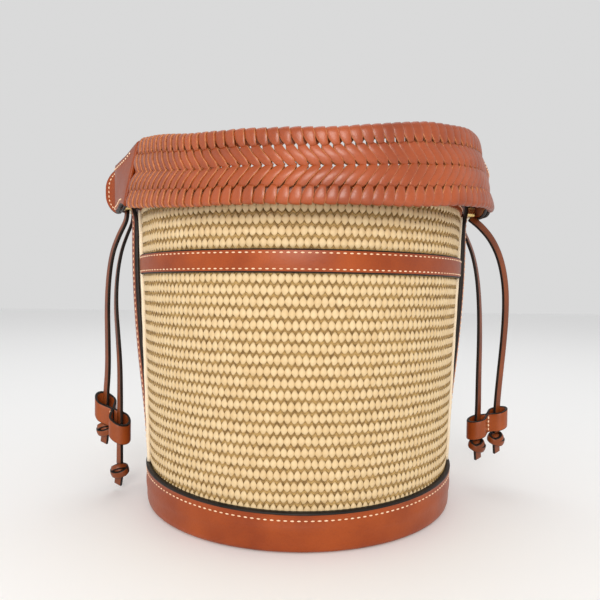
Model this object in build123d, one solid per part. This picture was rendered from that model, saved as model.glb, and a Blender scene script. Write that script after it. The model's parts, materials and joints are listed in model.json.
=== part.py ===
"""A small round bucket bag: woven walls, leather base, straps and braided handle, and two drawcords.

Millimetres, +Z up. The origin is the centre of the base on the ground, the front faces -Y, and
the handle swings about an axis along X through a stud in each side strap. The model is at rest
with the handle flopped forward over the front rim. Each piece is written to parts/NAME.step.
"""
import os
from math import cos, radians, sin, tan

from build123d import *

# Wall: a slightly flaring tube of woven cloth in a front and a back panel.
RIM_Z = 194.8
WALL_BOTTOM_Z = 5.4
WALL_BOTTOM_R = 96.2
WALL_TOP_R = 104.0
WALL_T = 2.5
STRAP_HALF_W = 21.0
PANEL_EDGE_Y = STRAP_HALF_W - 4.0
LAYER_GAP = 0.05

# Base: leather sole, stiff board, and a leather band with a higher top edge at the sides.
SOLE_R = WALL_BOTTOM_R - 5.4
SOLE_T = 2.0
BOARD_T = 3.0
BASE_BAND_TOP_R = WALL_BOTTOM_R + 3.9
BASE_BAND_BOTTOM_R = WALL_BOTTOM_R + 3.0
BASE_BAND_FRONT_Z = 21.8
BASE_BAND_SIDE_Z = 25.4
BASE_BAND_FLANGE_T = 1.7
BASE_BAND_LIFT = 0.3
BASE_BAND_ROUND = 2.4

# Trim on the panels.
PIPING_Y = STRAP_HALF_W + 1.6
PIPING_W = 2.4
PIPING_T = 1.6
BAND_Z = RIM_Z - 45.2
BAND_W = 12.2
BAND_T = 1.8
BAND_SIDE_GAP = 0.3

# Inside: lining, patch pocket, cord casing and rim binding.
LINING_T = 0.8
POCKET_W = 120.0
POCKET_LOW_Z = 70.0
POCKET_HIGH_Z = 140.0
POCKET_T = 1.2
CASING_LOW_Z = RIM_Z - 11.3
CASING_HIGH_Z = RIM_Z - 1.5
CASING_CHANNEL = 5.0
CASING_T = 0.9
BINDING_T = 1.2
BINDING_LOW_Z = RIM_Z - 10.8

# Side straps: leather, bowed out from the wall, with an ear that stands above the rim.
STRAP_T = 4.0
STRAP_R = WALL_TOP_R + 7.5
STRAP_BOW_Z = RIM_Z - 24.8
STRAP_MID_Z = 100.0
STRAP_MID_R = WALL_TOP_R + 3.6
STRAP_FOOT_T = 1.4
STRAP_FOOT_GAP = 0.3
STRAP_SHOULDER_LOW_Z = RIM_Z - 16.8
EAR_HALF_W = 14.5
BACKING_LOW_Z = 40.0
BACKING_HIGH_Z = RIM_Z - 12.3

# Handle pivot: a stud through each ear, with a spacer, a head and an inner cap.
PIVOT_Z = RIM_Z + 4.7
STUD_R = 3.0
STUD_HEAD_R = 5.0
STUD_HEAD_T = 0.9
CAP_R = 4.5
CAP_T = 2.4
SPACER_R = 7.4
RUNNING_FIT = 0.06
MOVING_GAP = 0.35

# Handle: a braided arch that lies forward and a little down.
ARCH_HALF_W = STRAP_R + 5.7
ARCH_REACH = WALL_TOP_R + 16.0
ARCH_BEND_START = 8.0
ARCH_FULLNESS = 1.5
HANDLE_T = 4.6
HANDLE_LAYER_T = 2.2
HANDLE_HALF_W = 18.4
HANDLE_BRAID_END_HALF_W = 17.0
HANDLE_NECK_HALF_W = 14.5
HANDLE_TAB_HALF_W = 15.0
HANDLE_SHOULDER = 62.0
BRAID_END = 42.0
HANDLE_NECK_Y = 18.0
LACE_SHARE = 0.54
HANDLE_DROOP = 3.2
TAB_FLARE_START = -4.0
TAB_FLARE_R = 15.0
TAB_FLARE_ANGLE = 76.0
TAB_CORNER_R = 12.5
TAB_ROOM = 30.0

# Reach of cutting tools: well inside and outside one side of the bag, and past a tab or slide.
INSIDE_X = WALL_TOP_R - 14.0
OUTSIDE_X = STRAP_R + 18.5
WEDGE = 40.0
THREADED = ("lining_wall", "cord_casing", "rim_binding")

# Drawcords: limp flat leather cord, here a round tube of nearly the same section.
CORD_D = 3.0
LOOP_LEFT_Z = RIM_Z - 4.4
LOOP_RIGHT_Z = RIM_Z - 8.3
OUTLET_Y = 8.0
OUTLET_X = STRAP_R + 2.8
OUTLET_LOW_Z = RIM_Z - 9.6
OUTLET_HIGH_Z = RIM_Z - 3.0
OUTLET_HALF_L = 12.4
OUTLET_INSET = 0.9
CORD_HOLE_GAP = 0.4

# Knots and slides.
KNOT_R = 6.3
KNOT_H = 7.5
KNOT_ROUND = 3.4
TAIL_W = 6.0
TAIL_T = 1.9
TAIL_L = 8.0
SLIDE_LOOP_R = 6.9
SLIDE_T = 1.6
SLIDE_PITCH = 13.4
SLIDE_H = 12.6

# The four tails, from the outlet to the top of the knot.
CORD_ROUTES = {
    "drawcord_left_outer": [
        (-114.3, -8.0, 185.2),
        (-114.3, -8.0, 181.4),
        (-115.6, -8.1, 177.0),
        (-119.2, -8.2, 169.8),
        (-123.8, -7.6, 158.0),
        (-126.5, -6.2, 141.0),
        (-127.9, -3.6, 120.5),
        (-128.3, 0.0, 99.0),
        (-128.9, 3.0, 79.0),
        (-130.9, 5.3, 60.0),
        (-130.9, 5.3, 43.3),
    ],
    "drawcord_left_inner": [
        (-114.3, 8.0, 185.2),
        (-114.3, 8.0, 181.6),
        (-115.4, 8.1, 177.4),
        (-118.4, 8.2, 170.2),
        (-122.0, 7.9, 159.4),
        (-124.7, 6.9, 143.0),
        (-125.2, 5.0, 123.5),
        (-123.4, 2.2, 104.0),
        (-121.8, -1.4, 84.0),
        (-121.6, -4.4, 64.0),
        (-122.2, -5.3, 46.0),
        (-121.8, -5.0, 31.0),
        (-121.8, -5.0, 18.1),
    ],
    "drawcord_right_outer": [
        (114.3, -8.0, 185.2),
        (114.3, -8.0, 181.4),
        (116.0, -8.1, 177.6),
        (121.4, -8.4, 171.6),
        (130.6, -8.6, 160.4),
        (137.0, -8.0, 144.6),
        (139.9, -6.8, 126.0),
        (139.9, -4.5, 105.5),
        (138.4, -1.8, 84.0),
        (136.4, 0.7, 62.0),
        (135.5, 0.9, 49.6),
        (135.5, 0.9, 36.5),
    ],
    "drawcord_right_inner": [
        (114.3, 8.0, 185.2),
        (114.3, 8.0, 181.6),
        (115.6, 8.1, 177.6),
        (119.0, 8.2, 170.8),
        (122.9, 8.0, 160.0),
        (125.4, 7.1, 143.5),
        (125.8, 5.2, 122.0),
        (124.6, 2.6, 98.0),
        (122.9, 0.0, 76.0),
        (122.3, -1.5, 56.0),
        (122.0, -1.6, 43.8),
        (122.0, -1.6, 32.8),
    ],
}
# A slide's centre, the turn of its long axis about Z, and the rise of its outer loop.
SLIDES = {
    "slide_left": ((-126.4, 0.0, 48.0), -53.0, 38.0),
    "slide_right": ((129.1, -0.4, 43.9), 10.0, 18.0),
}

TALL = 600.0
SADDLE_RISE = BASE_BAND_SIDE_Z - BASE_BAND_FRONT_Z
SADDLE_R = BASE_BAND_TOP_R**2 / (2 * SADDLE_RISE)
WALL_SLOPE = (WALL_TOP_R - WALL_BOTTOM_R) / (RIM_Z - WALL_BOTTOM_Z)
BOARD_LOW_Z = SOLE_T + 0.2
BOARD_HIGH_Z = BOARD_LOW_Z + BOARD_T
FLOOR_LOW_Z = WALL_BOTTOM_Z - 0.1
CORD_R = CORD_D / 2


def wall_r(z, inset=0.0):
    """Radius of the wall's outer face at a height, less an inset."""
    return WALL_BOTTOM_R + WALL_SLOPE * (z - WALL_BOTTOM_Z) - inset


def turned(*outline):
    """A full turn about Z of a closed outline of (radius, height) points."""
    face = make_face(Polyline(*[(r, 0, z) for r, z in outline], close=True))
    return revolve(face, Axis.Z)


def wall_shell(low, high, inset, thickness):
    """A shell that follows the wall between two heights, inset from its outer face."""
    return turned(
        (wall_r(low, inset), low),
        (wall_r(high, inset), high),
        (wall_r(high, inset + thickness), high),
        (wall_r(low, inset + thickness), low),
    )


def slab(low, high):
    """A large block between two Y values."""
    return Pos(0, (low + high) / 2, 0) * Box(TALL, high - low, 2 * TALL)


def rod_x(radius, start, end, y, z):
    """A round rod along X."""
    return Pos((start + end) / 2, y, z) * Rot(0, 90, 0) * Cylinder(radius, end - start)


def side_of(shape, side):
    """The piece as modelled on the right, or its mirror image on the left."""
    return shape if side == "right" else mirror(shape, Plane.YZ)


def front_or_back(shape, face):
    """The piece as modelled in front, or its mirror image at the back."""
    return shape if face == "front" else mirror(shape, Plane.XZ)


def make_base():
    """Sole, board, lining floor, and the band whose top edge follows a shallow saddle."""
    sole = Pos(0, 0, SOLE_T / 2) * Cylinder(SOLE_R, SOLE_T)
    board_r = WALL_BOTTOM_R - 0.7
    board = Pos(0, 0, (BOARD_LOW_Z + BOARD_HIGH_Z) / 2) * Cylinder(board_r, BOARD_T)
    floor_r = wall_r(FLOOR_LOW_Z, WALL_T + LINING_T + 0.3)
    floor = Pos(0, 0, FLOOR_LOW_Z + LINING_T / 2) * Cylinder(floor_r, LINING_T)
    top = BASE_BAND_SIDE_Z + 2
    flange_top = BASE_BAND_LIFT + BASE_BAND_FLANGE_T
    band = turned(
        (SOLE_R + 0.3, BASE_BAND_LIFT),
        (BASE_BAND_BOTTOM_R, BASE_BAND_LIFT),
        (BASE_BAND_TOP_R, top),
        (wall_r(top) + LAYER_GAP, top),
        (wall_r(WALL_BOTTOM_Z) + LAYER_GAP, WALL_BOTTOM_Z),
        (wall_r(WALL_BOTTOM_Z) + LAYER_GAP, flange_top),
        (SOLE_R + 0.3, flange_top),
    )
    low_edges = band.edges().filter_by(GeomType.CIRCLE).group_by(Axis.Z)[0]
    band = fillet(low_edges.sort_by(SortBy.RADIUS)[-1], BASE_BAND_ROUND)
    saddle = Pos(0, 0, BASE_BAND_FRONT_Z + SADDLE_R) * Rot(90, 0, 0) * Cylinder(SADDLE_R, TALL)
    band = band - saddle
    return {"base_sole": sole, "base_board": board, "lining_floor": floor, "base_band": band}


def cord_holes(side):
    """Clearance holes for the two cords that leave the casing on one side."""
    height = LOOP_RIGHT_Z if side == "right" else LOOP_LEFT_Z
    reach = (INSIDE_X, OUTLET_X - CORD_R)
    holes = [rod_x(CORD_R + CORD_HOLE_GAP, *reach, y, height) for y in (-OUTLET_Y, OUTLET_Y)]
    return side_of(Compound(children=[*holes]), side)


def make_walls():
    """Woven panels, the piping along their side edges, and the leather bands across them."""
    pieces = {}
    top = RIM_Z - BINDING_T - 0.1
    tube = wall_shell(WALL_BOTTOM_Z, top, 0, WALL_T)
    trim = wall_shell(WALL_BOTTOM_Z + 2, BINDING_LOW_Z - 0.3, -PIPING_T, PIPING_T - LAYER_GAP)
    saddle = Pos(0, 0, BASE_BAND_FRONT_Z + 0.3 + SADDLE_R) * Rot(90, 0, 0) * Cylinder(SADDLE_R, TALL)
    trim = trim & saddle
    band = wall_shell(BAND_Z - BAND_W / 2, BAND_Z + BAND_W / 2, -BAND_T, BAND_T - LAYER_GAP)
    piping_outer_y = PIPING_Y - PIPING_W / 2
    piping_inner_y = PIPING_Y + PIPING_W / 2
    for face in ("front", "back"):
        pieces[f"woven_{face}_panel"] = front_or_back(tube & slab(-TALL, -PANEL_EDGE_Y), face)
        pieces[f"{face}_band"] = front_or_back(band & slab(-TALL, -piping_inner_y - BAND_SIDE_GAP), face)
        strips = trim & slab(-piping_inner_y, -piping_outer_y)
        for strip in strips.solids():
            side = "right" if strip.center().X > 0 else "left"
            pieces[f"piping_{face}_{side}"] = front_or_back(strip, face)
    return pieces


def make_rim():
    """Lining, patch pocket, cord casing, the two cord loops in it, and the binding over all of them."""
    lining_low = FLOOR_LOW_Z + LINING_T + 0.1
    lining = wall_shell(lining_low, CASING_HIGH_Z, WALL_T + LAYER_GAP, LINING_T)
    pocket = wall_shell(POCKET_LOW_Z, POCKET_HIGH_Z, WALL_T + LINING_T + 2 * LAYER_GAP, POCKET_T)
    pocket = pocket & (Pos(0, 100, 0) * Box(POCKET_W, 200, TALL))
    outer = wall_r(CASING_LOW_Z, WALL_T + LINING_T + 3 * LAYER_GAP)
    inner = outer - 2 * CASING_T - CASING_CHANNEL
    casing = turned(
        (outer, CASING_LOW_Z), (outer, CASING_HIGH_Z), (inner, CASING_HIGH_Z), (inner, CASING_LOW_Z)
    )
    channel = turned(
        (outer - CASING_T, CASING_LOW_Z + CASING_T),
        (outer - CASING_T, CASING_HIGH_Z - CASING_T),
        (inner + CASING_T, CASING_HIGH_Z - CASING_T),
        (inner + CASING_T, CASING_LOW_Z + CASING_T),
    )
    casing = casing - channel
    edge = WALL_TOP_R + LAYER_GAP + BINDING_T
    binding = turned(
        (edge, BINDING_LOW_Z),
        (edge, RIM_Z),
        (inner - LAYER_GAP - BINDING_T, RIM_Z),
        (inner - LAYER_GAP - BINDING_T, BINDING_LOW_Z),
        (inner - LAYER_GAP, BINDING_LOW_Z),
        (inner - LAYER_GAP, RIM_Z - BINDING_T),
        (edge - BINDING_T, RIM_Z - BINDING_T),
        (edge - BINDING_T, BINDING_LOW_Z),
    )
    top_edges = binding.edges().filter_by(GeomType.CIRCLE).group_by(Axis.Z)[-1]
    binding = fillet(top_edges, BINDING_T * 0.8)
    pieces = {"lining_wall": lining, "inner_pocket": pocket, "cord_casing": casing, "rim_binding": binding}
    ring_r = (outer + inner) / 2
    for side, height in (("left", LOOP_LEFT_Z), ("right", LOOP_RIGHT_Z)):
        gap = Pos(ring_r, 0, height) * Box(4 * OUTLET_Y, 2 * (OUTLET_Y - CORD_D), 2 * CORD_D)
        ring = (Pos(0, 0, height) * Torus(ring_r, CORD_R)) - gap
        for y in (-OUTLET_Y, OUTLET_Y):
            stub = rod_x(CORD_R, ring_r - 0.9 * CORD_R, OUTLET_X - CORD_R, y, height)
            ring = ring + stub
        pieces[f"drawcord_loop_{side}"] = side_of(ring, side)
    return pieces


def make_side(side):
    """Strap with its ear, backing strip, cord outlet, stud, spacer and inner cap of one side."""
    foot_z = BASE_BAND_SIDE_Z + STRAP_FOOT_GAP
    foot_r = wall_r(foot_z) + LAYER_GAP
    ear_top = PIVOT_Z + EAR_HALF_W - 0.5
    bow = ThreePointArc(
        (foot_r + STRAP_FOOT_T, 0, foot_z), (STRAP_MID_R, 0, STRAP_MID_Z), (STRAP_R, 0, STRAP_BOW_Z)
    )
    inner_bow = ThreePointArc(
        (foot_r, 0, foot_z),
        (STRAP_MID_R - STRAP_T + 0.3, 0, STRAP_MID_Z),
        (STRAP_R - STRAP_T, 0, STRAP_BOW_Z),
    )
    rise = Polyline(
        (STRAP_R, 0, STRAP_BOW_Z), (STRAP_R, 0, ear_top), (STRAP_R - STRAP_T, 0, ear_top),
        (STRAP_R - STRAP_T, 0, STRAP_BOW_Z),
    )
    foot = Line((foot_r, 0, foot_z), (foot_r + STRAP_FOOT_T, 0, foot_z))
    strap = revolve(make_face(Curve() + [bow, rise, inner_bow, foot]), Axis.Z)
    outline = make_face(
        Polyline(
            (0, -STRAP_HALF_W, 0),
            (0, STRAP_HALF_W, 0),
            (0, STRAP_HALF_W, STRAP_SHOULDER_LOW_Z),
            (0, EAR_HALF_W, PIVOT_Z - 4),
            (0, EAR_HALF_W, ear_top),
            (0, -EAR_HALF_W, ear_top),
            (0, -EAR_HALF_W, PIVOT_Z - 4),
            (0, -STRAP_HALF_W, STRAP_SHOULDER_LOW_Z),
            close=True,
        )
    )
    cutter = extrude(outline, amount=2 * STRAP_R, dir=(1, 0, 0))
    corners = cutter.edges().filter_by(Axis.X).group_by(Axis.Z)[-1]
    cutter = fillet(corners, EAR_HALF_W - 0.6)
    strap = strap & cutter
    strap = strap - rod_x(STUD_R, INSIDE_X, OUTSIDE_X, 0, PIVOT_Z)

    hollow = revolve(
        make_face(
            Curve()
            + [
                inner_bow,
                Polyline(
                    (STRAP_R - STRAP_T, 0, STRAP_BOW_Z),
                    (STRAP_R - STRAP_T, 0, RIM_Z),
                    (wall_r(RIM_Z, WALL_T - LAYER_GAP), 0, RIM_Z),
                    (wall_r(foot_z, WALL_T - LAYER_GAP), 0, foot_z),
                    (foot_r, 0, foot_z),
                ),
            ]
        ),
        Axis.Z,
    )
    backing_h = BACKING_HIGH_Z - BACKING_LOW_Z
    backing_w = 2 * (PANEL_EDGE_Y - LAYER_GAP)
    backing = hollow & (Pos(STRAP_R, 0, BACKING_LOW_Z + backing_h / 2) * Box(80, backing_w, backing_h))

    post_end = ARCH_HALF_W + HANDLE_LAYER_T + MOVING_GAP + STUD_HEAD_T
    cap_start = STRAP_R - STRAP_T - CAP_T
    stud = rod_x(STUD_R, cap_start + 0.6, post_end, 0, PIVOT_Z)
    stud = stud + rod_x(STUD_HEAD_R, post_end - STUD_HEAD_T, post_end, 0, PIVOT_Z)
    cap = rod_x(CAP_R, cap_start, STRAP_R, 0, PIVOT_Z) - strap - stud
    cap = cap.solids().sort_by(Axis.X)[0]
    spacer_end = ARCH_HALF_W - MOVING_GAP
    outlet_end = spacer_end - OUTLET_INSET
    spacer = rod_x(SPACER_R, STRAP_R - 3, spacer_end, 0, PIVOT_Z)
    round_face = Pos(0, 0, PIVOT_Z) * Cylinder(STRAP_R + LAYER_GAP, 80)
    spacer = spacer - round_face - rod_x(STUD_R, INSIDE_X, OUTSIDE_X, 0, PIVOT_Z)

    outlet_w = outlet_end - STRAP_R + 3
    outlet_h = OUTLET_HIGH_Z - OUTLET_LOW_Z
    outlet_z = (OUTLET_HIGH_Z + OUTLET_LOW_Z) / 2
    outlet = Pos(outlet_end - outlet_w / 2, 0, outlet_z) * Box(outlet_w, 2 * OUTLET_HALF_L, outlet_h)
    outlet = fillet(outlet.edges().filter_by(Axis.X), 2.5)
    outlet = outlet - round_face - rod_x(SPACER_R + MOVING_GAP, INSIDE_X, OUTSIDE_X, 0, PIVOT_Z)
    pieces = {"side_strap": strap, "strap_backing": backing, "cord_outlet": outlet}
    pieces |= {"handle_stud": stud, "stud_cap": cap, "stud_spacer": spacer}
    return {f"{name}_{side}": side_of(piece, side) for name, piece in pieces.items()}


def handle_outline(half_widths):
    """A block whose side outline has the given (reach, half width) points, both ways from the axis."""
    upper = [(0, -reach, half) for reach, half in half_widths]
    lower = [(0, -reach, -half) for reach, half in reversed(half_widths)]
    face = make_face(Polyline(*upper, *lower, close=True))
    return extrude(face, amount=TALL / 2, dir=(1, 0, 0), both=True)


def arch_side(out):
    """Plan points of the arch's inner face pushed out by a distance, from the left bend to the right."""
    deep = ARCH_REACH - ARCH_BEND_START
    steps = [radians(angle) for angle in range(-90, 91, 10)]
    face = [(ARCH_HALF_W * sin(a), -ARCH_BEND_START - deep * cos(a) ** (2 / ARCH_FULLNESS)) for a in steps]
    pushed = [(-ARCH_HALF_W - out, -ARCH_BEND_START)]
    for before, at, after in zip(face, face[1:], face[2:]):
        run = Vector(after[0] - before[0], after[1] - before[1]).normalized()
        pushed.append((at[0] + out * run.Y, at[1] - out * run.X))
    return pushed + [(ARCH_HALF_W + out, -ARCH_BEND_START)]


def arch(inset, thickness):
    """A layer of the arch from one pivot round the front to the other, tall enough for the handle."""
    near, far = arch_side(inset), arch_side(inset + thickness)
    ends = ((0, -1), (0, 1))
    outline = [Spline(*near, tangents=ends), Spline(*far, tangents=ends)]
    for (inner_x, _), (outer_x, _) in ((near[0], far[0]), (near[-1], far[-1])):
        outline.append(
            Polyline((inner_x, -ARCH_BEND_START), (inner_x, 0), (outer_x, 0), (outer_x, -ARCH_BEND_START))
        )
    edges = [edge for line in outline for edge in line.edges()]
    return extrude(make_face(edges), amount=2 * HANDLE_HALF_W, both=True)


def make_handle():
    """Braid and its two edge lacings, then the layered end and flared tab of each side."""
    share = LACE_SHARE
    widths = [
        (ARCH_REACH + 10, HANDLE_HALF_W),
        (HANDLE_SHOULDER, HANDLE_HALF_W),
        (BRAID_END, HANDLE_BRAID_END_HALF_W),
    ]
    middle = [(reach, half * share) for reach, half in widths]
    ring = arch(0, HANDLE_T) & slab(-TALL, -BRAID_END)
    full = ring & handle_outline(widths)
    braid = full & handle_outline(middle)
    edges = full - handle_outline([(reach, half + LAYER_GAP) for reach, half in middle])
    lower, upper = edges.solids().sort_by(Axis.Z)
    pieces = {"handle_braid": braid, "handle_lacing_upper": upper, "handle_lacing_lower": lower}

    end_widths = [
        (BRAID_END, HANDLE_BRAID_END_HALF_W),
        (HANDLE_NECK_Y, HANDLE_NECK_HALF_W),
        (0.0, HANDLE_TAB_HALF_W),
        (-TAB_ROOM, HANDLE_TAB_HALF_W),
    ]
    near_end = slab(-BRAID_END + LAYER_GAP, TALL) & handle_outline(end_widths)
    right_only = Pos(TALL / 2, 0, 0) * Box(TALL, TALL, TALL)
    inner = arch(0, HANDLE_LAYER_T) & near_end & right_only
    run_on = HANDLE_TAB_HALF_W - 0.5
    straight = Pos(ARCH_HALF_W + HANDLE_LAYER_T / 2, run_on / 2, 0) * Box(
        HANDLE_LAYER_T, run_on, 2 * HANDLE_TAB_HALF_W
    )
    straight = straight & rod_x(run_on, INSIDE_X, OUTSIDE_X, 0, 0)
    inner = inner + straight
    inner = inner - rod_x(STUD_R + RUNNING_FIT, INSIDE_X, OUTSIDE_X, 0, 0)

    skin_start = HANDLE_LAYER_T + LAYER_GAP
    skin_t = HANDLE_T - skin_start
    skin = arch(skin_start, skin_t) & near_end & right_only & slab(-TALL, TAB_FLARE_START)
    centre_x = ARCH_HALF_W + HANDLE_T + TAB_FLARE_R - 0.06
    bend = extrude(Circle(TAB_FLARE_R + skin_t) - Circle(TAB_FLARE_R), amount=2 * HANDLE_TAB_HALF_W)
    tip = radians(180 - TAB_FLARE_ANGLE)
    wedge = make_face(
        Polyline(
            (0, 0, 0),
            (-WEDGE, 0, 0),
            (-WEDGE, WEDGE, 0),
            (WEDGE * cos(tip), WEDGE * sin(tip), 0),
            close=True,
        )
    )
    bend = bend & extrude(wedge, amount=2 * HANDLE_TAB_HALF_W)
    bend = Pos(centre_x, TAB_FLARE_START, -HANDLE_TAB_HALF_W) * bend
    skin = skin + bend
    tip_x = bend.bounding_box().max.X
    front_outline = Pos((tip_x + 60) / 2, 0, 0) * Box(tip_x - 60, TALL, 2 * HANDLE_TAB_HALF_W)
    tip_edges = front_outline.edges().filter_by(Axis.Y).group_by(Axis.X)[-1]
    skin = skin & fillet(tip_edges, TAB_CORNER_R)
    pocket_end = ARCH_HALF_W + HANDLE_LAYER_T + STUD_HEAD_T + 2 * MOVING_GAP
    skin = skin - rod_x(STUD_HEAD_R + MOVING_GAP, INSIDE_X, pocket_end, 0, 0)
    for side in ("left", "right"):
        pieces[f"handle_end_{side}"] = side_of(inner, side)
        pieces[f"handle_tab_{side}"] = side_of(skin, side)
    lay = Pos(0, 0, PIVOT_Z) * Rot(HANDLE_DROOP, 0, 0)
    return {name: lay * piece for name, piece in pieces.items()}


def cord_tube(name, route):
    """A round tube of straight runs joined by arcs as large as their two runs allow."""
    points = [Vector(*point) for point in route]
    radii = []
    for before, at, after in zip(points, points[1:], points[2:]):
        half_turn = radians((at - before).get_angle(after - at)) / 2
        shorter = min((at - before).length, (after - at).length)
        radii.append(0.45 * shorter / tan(half_turn))
    path = FilletPolyline(*points, radius=radii)
    start = Plane(origin=path @ 0, z_dir=path % 0)
    tube = sweep(start * Circle(CORD_R), path=path)
    expected = Circle(CORD_R).area * path.length
    smallest = min(radii)
    share = tube.volume / expected
    print(f"{name}: length {path.length:.1f}, smallest radius {smallest:.1f}, volume {share:.4f}")
    return tube


def make_knot(route):
    """A rounded knot with a short flat end below it, hanging from the end of a tail."""
    knot = Cylinder(KNOT_R, KNOT_H)
    knot = fillet(knot.edges().filter_by(GeomType.CIRCLE), KNOT_ROUND)
    tail = Pos(0, 0, -KNOT_H / 2 - TAIL_L / 2 + 1) * Box(TAIL_W, TAIL_T, TAIL_L + 2)
    x, y, z = route[-1]
    return Pos(x, y, z - KNOT_H / 2) * (knot + tail)


def make_slide(centre, turn, rise, side):
    """Two upright loops side by side, with top and bottom edges that slope along the slide."""
    loops = Pos(-SLIDE_PITCH / 2, 0) * Circle(SLIDE_LOOP_R) + Pos(SLIDE_PITCH / 2, 0) * Circle(SLIDE_LOOP_R)
    hole = Circle(SLIDE_LOOP_R - SLIDE_T)
    loops = loops - Pos(-SLIDE_PITCH / 2, 0) * hole - Pos(SLIDE_PITCH / 2, 0) * hole
    block = Pos(0, 0, -WEDGE) * extrude(loops, amount=2 * WEDGE)
    slope = rise if side == "left" else -rise
    cut = Rot(0, slope, 0) * Box(80, 80, SLIDE_H * cos(radians(rise)))
    return Pos(*centre) * Rot(0, 0, turn) * (block & cut)


def make_all():
    """Every piece by name, with the cord holes cut and the cords last."""
    pieces = make_base() | make_walls() | make_rim()
    for side in ("left", "right"):
        pieces |= make_side(side)
        holes = cord_holes(side)
        for name in THREADED + (f"side_strap_{side}", f"cord_outlet_{side}"):
            pieces[name] = pieces[name] - holes
    pieces |= make_handle()
    for name, route in CORD_ROUTES.items():
        pieces[name] = cord_tube(name, route)
        pieces[name.replace("drawcord", "knot")] = make_knot(route)
    for name, (centre, turn, rise) in SLIDES.items():
        pieces[name] = make_slide(centre, turn, rise, name.split("_")[1])
    return pieces


os.makedirs("parts", exist_ok=True)
for node, piece in make_all().items():
    export_step(piece, f"parts/{node}.step")
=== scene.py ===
"""Looks of the bucket bag: woven walls, tan leather trim, a braided handle and knotted drawcords.

Lengths are metres, in the frame's own axes. The front faces -Y and the handle turns about X.
"""
import bisect
import json
import math

import bmesh
import bpy
from mathutils import Euler, Matrix, Vector, noise


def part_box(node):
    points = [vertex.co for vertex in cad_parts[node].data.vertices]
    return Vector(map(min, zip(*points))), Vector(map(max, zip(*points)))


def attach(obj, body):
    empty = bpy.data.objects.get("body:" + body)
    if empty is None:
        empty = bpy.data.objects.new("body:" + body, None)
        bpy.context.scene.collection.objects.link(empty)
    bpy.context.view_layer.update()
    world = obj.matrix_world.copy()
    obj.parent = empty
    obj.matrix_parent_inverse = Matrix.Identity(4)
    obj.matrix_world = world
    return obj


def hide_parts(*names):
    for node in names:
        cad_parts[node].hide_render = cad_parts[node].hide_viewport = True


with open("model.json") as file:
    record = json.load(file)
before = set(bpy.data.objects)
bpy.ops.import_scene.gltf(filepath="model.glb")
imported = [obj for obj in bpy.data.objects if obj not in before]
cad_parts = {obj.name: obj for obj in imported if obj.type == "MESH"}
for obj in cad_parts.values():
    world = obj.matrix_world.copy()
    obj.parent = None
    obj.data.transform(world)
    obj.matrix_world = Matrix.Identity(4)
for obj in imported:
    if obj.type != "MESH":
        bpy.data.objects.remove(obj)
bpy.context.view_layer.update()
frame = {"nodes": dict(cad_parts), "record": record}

MM = 0.001
LEATHER, EDGE = 0, 1
STITCH_PITCH = 3.5 * MM

# ---------------------------------------------------------------- sizes, from the frame
wall_low, wall_high = (Vector(corner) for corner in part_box("woven_front_panel"))
WALL_TOP_Z = wall_high.z
WALL_TOP_R = -wall_low.y
WALL_FOOT_Z = wall_low.z
WALL_FOOT_R = 96.2 * MM
PANEL_HALF_ANGLE = math.acos(-wall_high.y / WALL_TOP_R)
PIVOT_Z = (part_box("handle_stud_left")[0][2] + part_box("handle_stud_left")[1][2]) / 2


def wall_r(z):
    """Radius of the woven wall's outer face at a height."""
    return WALL_FOOT_R + (WALL_TOP_R - WALL_FOOT_R) * (z - WALL_FOOT_Z) / (WALL_TOP_Z - WALL_FOOT_Z)


def ring_point(r, angle, z=0.0):
    """A point round the bag's axis: radius, angle from the front, and height."""
    return Vector((r * math.sin(angle), -r * math.cos(angle), z))


def outward(t):
    """The way out of the bag at a share of the way round it."""
    return ring_point(1.0, t * 2 * math.pi)


def wall_point(angle, z, out, turn=0.0):
    """A point on the wall: angle from the front, height, and distance out of the cloth."""
    return ring_point(wall_r(z) + out, angle + turn, z)


def smooth(edge_a, edge_b, value):
    """0 before edge_a, 1 after edge_b, and a smooth rise between them."""
    t = min(max((value - edge_a) / (edge_b - edge_a), 0.0), 1.0)
    return t * t * (3 - 2 * t)


def tighten(share, power):
    """Shares of a length whose steps get closer towards its far end."""
    return 1 - max(1 - share, 0.0) ** power


def through(points, t):
    """A smooth curve through points, for t from 0 to 1."""
    spans = len(points) - 1
    i = min(int(t * spans), spans - 1)
    u = t * spans - i
    p1, p2 = points[i], points[i + 1]
    p0 = points[i - 1] if i else p1 * 2 - p2
    p3 = points[i + 2] if i + 2 <= spans else p2 * 2 - p1
    return 0.5 * (
        2 * p1
        + (p2 - p0) * u
        + (2 * p0 - 5 * p1 + 4 * p2 - p3) * u * u
        + (3 * p1 - p0 - 3 * p2 + p3) * u**3
    )


# ---------------------------------------------------------------- materials
class Shade:
    """One number or colour socket in a material, with arithmetic on numbers."""

    def __init__(self, paint, socket):
        self.paint = paint
        self.socket = socket

    def math(self, operation, *values):
        node = self.paint.node("ShaderNodeMath", {"operation": operation}, dict(enumerate(values)))
        return Shade(self.paint, node.outputs[0])

    def __add__(self, other):
        return self.math("ADD", self, other)

    def __sub__(self, other):
        return self.math("SUBTRACT", self, other)

    def __mul__(self, other):
        return self.math("MULTIPLY", self, other)

    def __pow__(self, other):
        return self.math("POWER", self, other)


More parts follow.
